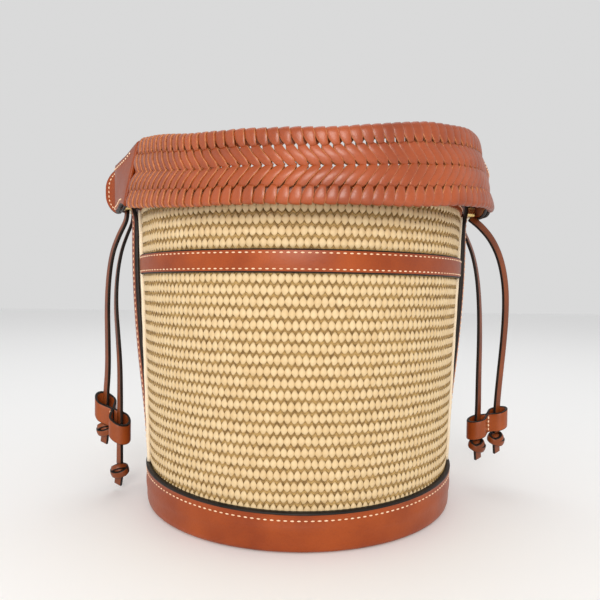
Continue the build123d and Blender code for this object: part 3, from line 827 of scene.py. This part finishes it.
def make_base():
    """The band round the foot: rounded below, a black painted top edge, and a stitch row."""
    top, knee, knee_r = BASE_SIDE_Z, 9.0 * MM, 99.7 * MM
    inner_top = wall_r(top) + 0.1 * MM
    # the section as (radius, height): under the foot and up the outside, over the edge, and down inside
    foot = ((91.3, 0.35), (96.9, 0.3), (98.1, 0.6), (98.9, 1.4), (99.3, 2.6), (99.6, 4.6), (99.7, 9.0))
    section = [(r * MM, z * MM) for r, z in foot]
    for i in range(1, 9):
        swell = 0.45 * MM * math.sin(min(i, 5) / 5 * math.pi)
        section.append((knee_r + (BASE_R - knee_r) * i / 8 + swell, knee + (top - 2.2 * MM - knee) * i / 8))
    lip = ((0.35, 1.7), (0.45, 1.0), (0.1, 0.35), (-0.6, 0.0))
    section += [(BASE_R + r * MM, top - z * MM) for r, z in lip]
    section += [(inner_top + 0.6 * MM, top), (inner_top, top - 0.5 * MM), (wall_r(knee) + 0.1 * MM, knee)]
    section += [(96.3 * MM, 3.0 * MM), (95.0 * MM, 2.0 * MM), (91.3 * MM, 1.9 * MM)]
    bm = bmesh.new()
    ring = [bm.verts.new((0.0, -r, z)) for r, z in section]
    edges = [bm.edges.new((a, b)) for a, b in zip(ring, ring[1:] + ring[:1])]
    bmesh.ops.spin(
        bm, geom=ring + edges, cent=(0, 0, 0), axis=(0, 0, 1), angle=2 * math.pi, steps=200, use_merge=True
    )
    for f in bm.faces:
        middle = f.calc_center_median()
        if middle.z > top - 1.9 * MM and middle.xy.length > inner_top:
            f.material_index = EDGE
    for vert in bm.verts:
        if vert.co.z > knee:
            share = (vert.co.z - knee) / (top - knee)
            vert.co.z = knee + share * (base_top(vert.co.x) - knee)
    piece("base_band", bm, TRIM, "bag", ("base_band",))

    def at(t):
        angle = t * 2 * math.pi
        return ring_point(BASE_R + 0.02 * MM, angle, base_top(BASE_R * math.sin(angle)) - 4.3 * MM)

    thread_piece("base_band_stitches", [(at, outward, 2 * math.pi * BASE_R)])


STRAP_R = 111.5 * MM
STRAP_HALF_W = 21.0 * MM
STRAP_T = 2.4 * MM
STRAP_FOOT_Z = BASE_SIDE_Z + 0.3 * MM
STRAP_BOW_Z = 170.0 * MM
STRAP_STITCH_INSET = 3.4 * MM
EAR_HALF_W = 14.5 * MM
EAR_ROUND_R = 13.9 * MM
EAR_TOP_Z = PIVOT_Z + 14.0 * MM


def strap_r(z):
    """Outer radius of the side strap: flush at the foot, bowed out above."""
    foot = wall_r(STRAP_FOOT_Z) + 1.9 * MM
    share = min((z - STRAP_FOOT_Z) / (STRAP_BOW_Z - STRAP_FOOT_Z), 1.0)
    return foot + (STRAP_R - foot) * math.sin(max(share, 0.0) * math.pi / 2)


def strap_half(z):
    """Half width of the side strap: wide below, narrowing to a round-topped ear."""
    half = STRAP_HALF_W + (EAR_HALF_W - STRAP_HALF_W) * smooth(178 * MM, 195.5 * MM, z)
    over = z - (EAR_TOP_Z - EAR_ROUND_R)
    if over > 0:
        half = 0.6 * MM + math.sqrt(max(EAR_ROUND_R**2 - over * over, 0.0))
    return half


def crown(level, across):
    """How far the strap's face curls back towards the wall on the way to its edges."""
    deep = 3.2 * MM * smooth(STRAP_FOOT_Z, 75 * MM, level) * (1 - smooth(176 * MM, 192 * MM, level))
    return deep * (abs(across) / strap_half(level)) ** 2.2


def make_strap(side):
    """Side strap with its ear, black edges and a stitch row near each edge."""
    sign = 1.0 if side == "right" else -1.0
    tall = EAR_TOP_Z - STRAP_FOOT_Z

    def height(y):
        """Closer steps near the rounded top."""
        return STRAP_FOOT_Z + tall * tighten(y, 1.35)

    def shape(x, y, z):
        level = height(y)
        thick = STRAP_T - 1.0 * MM * smooth(90 * MM, STRAP_FOOT_Z, level)
        across = 2 * x * strap_half(level)
        r = strap_r(level) - crown(level, across) - thick / 2 + z * thick / STRAP_T
        return Vector((sign * math.sqrt(r * r - across * across), across, level))

    bm = bmesh.new()
    strap(bm, 2 * STRAP_HALF_W, tall, STRAP_T, 16, 70, shape, rounding=0.7 * MM, dome=0.2 * MM)
    name = f"side_strap_{side}"
    piece(name, bm, TRIM, "bag", (name,))
    rows = []
    row_start, row_share = 0.012, 0.885

    def out(t):
        return Vector((sign, 0.0, 0.0))

    for edge in (-1, 1):
        def at(t, edge=edge):
            level = STRAP_FOOT_Z + (row_start + row_share * t) * tall
            across = edge * (strap_half(level) - STRAP_STITCH_INSET)
            r = strap_r(level) - crown(level, across) + 0.12 * MM
            return Vector((sign * math.sqrt(r * r - across * across), across, level))

        rows.append((at, out, tall * row_share))

    def crest(t):
        angle = (t - 0.5) * math.pi
        across = math.sin(angle) * (EAR_HALF_W - STRAP_STITCH_INSET)
        level = EAR_TOP_Z - EAR_ROUND_R + math.cos(angle) * (EAR_ROUND_R - STRAP_STITCH_INSET)
        r = STRAP_R + 0.1 * MM
        return Vector((sign * math.sqrt(r * r - across * across), across, level))

    rows.append((crest, out, math.pi * (EAR_HALF_W - STRAP_STITCH_INSET)))
    thread_piece(f"{name}_stitches", rows)


# ---------------------------------------------------------------- handle
ARCH_HALF_W = 117.2 * MM
ARCH_REACH = 120.0 * MM
ARCH_BEND_START = 8.0 * MM
ARCH_FULLNESS = 1.5
HANDLE_T = 4.6 * MM
HANDLE_HALF_W = 18.4 * MM
HANDLE_END_HALF_W = 14.5 * MM
COURSES_HALF_W = 19.0 * MM
BRAID_END = 47.0 * MM
BRAID_PITCH = 5.5 * MM
HALF_TURN = math.pi / 2 - 1e-6
DROOP = Matrix.Translation((0, 0, PIVOT_Z)) @ Matrix.Rotation(math.radians(3.2), 4, "X")


def handle_half(reach):
    """Half width of the handle at a distance forward of its axis."""
    return HANDLE_END_HALF_W + (HANDLE_HALF_W - HANDLE_END_HALF_W) * smooth(28 * MM, 54 * MM, reach)


def plan_point(angle, out=0.0):
    """The arch from above: its inner face pushed out by a distance, and the way out of it.

    Its right half is squarer than its left one.
    """
    fullness = ARCH_FULLNESS + (0.6 if angle > 0 else -0.32) * smooth(0.0, 0.9, abs(angle))

    def face(a):
        deep = (ARCH_REACH - ARCH_BEND_START) * math.cos(a) ** (2 / fullness)
        return Vector((ARCH_HALF_W * math.sin(a), -ARCH_BEND_START - deep, 0))

    step = 0.002
    run = (face(min(angle + step, HALF_TURN)) - face(max(angle - step, -HALF_TURN))).normalized()
    away = Vector((run.y, -run.x, 0))
    return face(angle) + away * out, away


def arch_table():
    """Angles round the braided part of the arch, and the distance along it at each."""
    angles = [-HALF_TURN + 2 * HALF_TURN * i / 1000 for i in range(1001)]
    angles = [a for a in angles if plan_point(a)[0].y < -BRAID_END]
    run = [0.0]
    spots = [plan_point(a, HANDLE_T / 2)[0] for a in angles]
    for a, b in zip(spots, spots[1:]):
        run.append(run[-1] + (b - a).length)
    return angles, run


ARCH_ANGLES, ARCH_RUN = arch_table()


def settle(point, away, w, n):
    """Lays a point on the flopped handle: w across and n out of it at a plan point.

    The band leans in at its top, more at its ends, and sits higher and taller towards both of them.
    """
    grown = smooth(18 * MM, 52 * MM, -point.y)
    right, left = point.x / ARCH_HALF_W, -point.x / ARCH_HALF_W
    lean_front, lean_end = 0.07, 0.26 if right > 0 else 0.24
    lift_right, lift_left = 7.0 * MM, 5.0 * MM
    draw_in = 0.055
    lean = (lean_front + lean_end * right**2) * grown
    lift = lift_right * smooth(-0.1, 0.85, right) + lift_left * smooth(0.45, 0.92, left)
    stretch = 0.95 + 0.15 * smooth(0.0, 0.5, right) + 0.13 * smooth(0.35, 0.9, left)
    placed = point + away * (n - w * lean)
    placed.x *= 1 - draw_in * smooth(0.6, 1.0, right) * grown
    placed.z = w * (1 + (stretch - 1) * grown) + lift * grown
    return DROOP @ placed


def arch_point(s, w, n):
    """A point on the braid: distance along it, across it, and out of it."""
    i = bisect.bisect_right(ARCH_RUN, s) - 1
    i = min(max(i, 0), len(ARCH_RUN) - 2)
    u = (s - ARCH_RUN[i]) / (ARCH_RUN[i + 1] - ARCH_RUN[i])
    a = ARCH_ANGLES[i] + (ARCH_ANGLES[i + 1] - ARCH_ANGLES[i]) * u
    point, away = plan_point(a, HANDLE_T / 2)
    return settle(point, away, w * handle_half(-point.y) / COURSES_HALF_W, n)


# Each course of the braid, in mm: points (along, across, out) of one strip's middle line, the strip's
# width, and the steps along it.
COURSES = {
    "top_wrap": (
        ((3.6, 7.6, -0.1), (2.6, 10.4, 1.35), (1.2, 14.0, 1.75), (0.3, 17.3, 1.45), (0.0, 18.7, 0.0),
         (-0.3, 17.3, -1.45), (-1.2, 14.0, -1.75), (-2.6, 10.4, -1.35), (-3.6, 7.6, 0.1)),
        5.35, 26,
    ),
    "bottom_wrap": (
        ((2.6, -7.6, -0.1), (1.9, -10.4, 1.35), (0.9, -14.0, 1.75), (0.2, -17.3, 1.45), (0.0, -18.7, 0.0),
         (-0.2, -17.3, -1.45), (-0.9, -14.0, -1.75), (-1.9, -10.4, -1.35), (-2.6, -7.6, 0.1)),
        5.35, 26,
    ),
    "upper_chevron": (
        ((-3.9, 11.2, -0.1), (-2.4, 9.0, 1.0), (0.5, 5.2, 1.75), (3.8, 1.6, 1.35), (6.2, -1.0, 0.0)),
        4.3, 14,
    ),
    "lower_chevron": (
        ((6.2, 1.0, 0.0), (3.8, -1.6, 1.35), (0.5, -5.2, 1.75), (-2.4, -9.0, 1.0), (-3.9, -11.2, -0.1)),
        4.3, 14,
    ),
}


def braid_strip(bm, points, width, steps, mirror):
    """One leather strip of the braid, narrower where it dives under its neighbours."""
    line = [Vector((s, w, n * mirror)) * MM for s, w, n in points]

    def shape(x, y, z):
        centre = through(line, y)
        run = (through(line, min(y + 0.01, 1.0)) - through(line, max(y - 0.01, 0.0))).normalized()
        across = (Vector((1, 0, 0)) - run * run.x).normalized()
        out = across.cross(run)
        off_middle = centre.z if abs(centre.z) > 0.4 * MM else 0.0
        if out.dot(Vector((0, 0.25 * centre.y, off_middle))) < 0:
            out = -out
        ends = min(smooth(0.0, 0.30, y), smooth(1.0, 0.70, y))
        wide = width * MM * (0.26 + 0.74 * ends)
        tilt = 0.16 * ends
        return centre + across * (x * wide) + out * (z + tilt * wide * x)

    strap(bm, width * MM, 20 * MM, 1.15 * MM, 4, steps, shape, rounding=0.22 * MM, dome=0.35 * MM)


def make_braid():
    """All the strips of the handle's braid, wrapped round the arch."""
    replaced = {
        "top_wrap": ("handle_lacing_upper",),
        "bottom_wrap": ("handle_lacing_lower",),
        "upper_chevron": ("handle_braid",),
        "lower_chevron": (),
    }
    inset = 2 * MM
    count = int((ARCH_RUN[-1] - 2 * inset) / BRAID_PITCH)
    pitch = (ARCH_RUN[-1] - 2 * inset) / count
    for name, (points, width, steps) in COURSES.items():
        bm = bmesh.new()
        both = (1, -1) if "chevron" in name else (1,)
        for mirror in both:
            braid_strip(bm, points, width, steps, mirror)
        bmesh.ops.recalc_face_normals(bm, faces=bm.faces)
        bm = repeat(bm, (count, (pitch, 0, 0)))
        for vert in bm.verts:
            s, w, n = vert.co
            along = s + inset + pitch / 2
            sway = noise.noise(Vector((along * 60, w * 40, 3.0))) * 0.35 * MM
            vert.co = arch_point(along, w + sway, n + sway * 0.5)
        piece(f"braid_{name}", bm, (paint_braid, paint_raw), "handle", replaced[name])


END_ROUND_R = 14.5 * MM
TAB_HALF_W = 15.0 * MM
TAB_CORNER_R = 12.3 * MM
TAB_T = 2.3 * MM


def end_line(sign, out, flares):
    """Plan of one layer of a handle end, from under the braid back to its tip, on the right or the left."""
    line = []
    for i in range(400):
        point, _ = plan_point(sign * HALF_TURN * (0.6 + 0.4 * i / 400), out)
        if -BRAID_END - 3 * MM < point.y < -ARCH_BEND_START - 0.5 * MM:
            line.append(point)
    line = line[::4]
    x = ARCH_HALF_W + out
    if not flares:
        return line + [Vector((sign * x, y * MM, 0)) for y in (-8, -4, 0, 5, 10, 14.5)]
    flare_r, flare_y, flare_turn = 16.0 * MM, -4.0 * MM, math.radians(76.0)
    line += [Vector((sign * x, y * MM, 0)) for y in (-8, -6)]
    for i in range(17):
        a = flare_turn * i / 16
        flared_x = x + flare_r - flare_r * math.cos(a)
        line.append(Vector((sign * flared_x, flare_y + flare_r * math.sin(a), 0)))
    return line


def end_layer(sign, line):
    """Where (distance along, across, out) lies on a layer that follows a plan line, and its length."""
    at, total = along_line(line)

    def spot(d, w, out):
        point, run = at(d / total)
        return settle(point, Vector((run.y, -run.x, 0)).normalized() * sign, w, out)

    return spot, total


def tab_border(total, half):
    """A function from 0..1 to (distance, across) on the tab's border line, and the line's length."""
    inset, start = 2.9 * MM, 8 * MM
    low, flat = total - TAB_CORNER_R, TAB_HALF_W - TAB_CORNER_R
    bend_r = TAB_CORNER_R - inset
    straight, arc = low - start, bend_r * math.pi / 2
    length = 2 * (straight + arc + flat)

    def border(t):
        """Out along one side, round the tip and back: the second half mirrors the first."""
        d = t * length
        sign = 1.0 if d < length / 2 else -1.0
        d = min(d, length - d)
        if d < straight:
            return start + d, sign * (half(start + d) - inset)
        d -= straight
        if d < arc:
            return low + math.sin(d / bend_r) * bend_r, sign * (flat + math.cos(d / bend_r) * bend_r)
        return total - inset, sign * (flat - (d - arc))

    return border, length


def make_end(side):
    """A handle end: a plain inner layer, and an outer one that flares into a round stitched tab."""
    sign = 1.0 if side == "right" else -1.0
    plain, plain_run = end_layer(sign, end_line(sign, 1.1 * MM, flares=False))
    flared, total = end_layer(sign, end_line(sign, 3.45 * MM, flares=True))

    def half(d):
        reach = BRAID_END - d
        wide = handle_half(reach)
        if reach <= 14 * MM:
            wide = HANDLE_END_HALF_W + (TAB_HALF_W - HANDLE_END_HALF_W) * smooth(14 * MM, 2 * MM, reach)
        left = total - d
        if left < TAB_CORNER_R:
            bend = math.sqrt(max(TAB_CORNER_R**2 - (TAB_CORNER_R - left) ** 2, 0.0))
            wide = TAB_HALF_W - TAB_CORNER_R + bend
        return wide

    def plain_shape(x, y, z):
        d = plain_run * tighten(y, 1.5)
        wide = handle_half(BRAID_END - d)
        left = plain_run - d
        if left < END_ROUND_R:
            wide = math.sqrt(max(END_ROUND_R**2 - (END_ROUND_R - left) ** 2, 0.0))
        return plain(d, 2 * x * wide, z)

    def shape(x, y, z):
        d = total * tighten(y, 1.5)
        return flared(d, 2 * x * half(d), z)

    bm = bmesh.new()
    strap(bm, 2 * END_ROUND_R, plain_run, 2.1 * MM, 10, 40, plain_shape, rounding=0.6 * MM, bare=True)
    piece(f"handle_end_{side}", bm, TRIM, "handle", (f"handle_end_{side}",))
    bm = bmesh.new()
    strap(bm, 2 * TAB_HALF_W, total, TAB_T, 10, 48, shape, rounding=0.75 * MM, dome=0.25 * MM, bare=True)
    piece(f"handle_tab_{side}", bm, TRIM, "handle", (f"handle_tab_{side}",))

    border, length = tab_border(total, half)

    def at_border(t):
        d, w = border(t)
        return flared(d, w, TAB_T / 2 + 0.3 * MM)

    def out_border(t):
        d, w = border(t)
        return flared(d, w, 2 * MM) - flared(d, w, 0)

    bm = bmesh.new()
    count = round(length / (2.9 * MM))
    stitches(bm, at_border, out_border, count, long=2.0 * MM, wide=0.5 * MM, high=0.36 * MM)
    piece(f"handle_tab_{side}_stitches", bm, (paint_thread,), "handle")


# ---------------------------------------------------------------- CAD pieces that keep their shape
def paint_nodes():
    """Gives every CAD piece that still shows its own finish."""
    by_slot = {
        "raffia_cloth": paint_raffia,
        "cream_piping": paint_piping,
        "lining_cloth": paint_lining,
        "stiff_board": paint_board,
        "tan_leather": paint_tan,
        "sole_leather": paint_sole,
        "braid_leather": paint_braid,
        "cord_leather": paint_cord,
        "brass_fittings": paint_brass,
    }
    for entry in frame["record"]["subparts"]:
        node = frame["nodes"][entry["node"]]
        for holder in node.material_slots:
            holder.material = by_slot[entry["material_slot"]]


def make_rim_stitches():
    """Stitch rows round the rim binding, outside and on its top."""
    low, high = (Vector(corner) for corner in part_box("rim_binding"))
    outer = high.x

    def ring(r, z):
        return lambda t: ring_point(r, t * 2 * math.pi, z)

    rows = [
        (ring(outer + 0.1 * MM, low.z + 2.4 * MM), outward, 2 * math.pi * outer),
        (ring(outer - 3.0 * MM, high.z + 0.1 * MM), lambda t: Vector((0, 0, 1)), 2 * math.pi * outer),
    ]
    thread_piece("rim_stitches", rows)


make_view()
for cord_name in CORD_ROUTES:
    make_cord(cord_name)
for slide_name in SLIDES:
    make_slide(slide_name)
for panel, half_turn in (("front", 0.0), ("back", math.pi)):
    make_weave(panel, half_turn)
    make_band(panel, half_turn)
    for edge_side in ("left", "right"):
        make_piping(panel, edge_side)
make_base()
for which in ("left", "right"):
    make_strap(which)
    make_end(which)
make_braid()
make_rim_stitches()
paint_nodes()
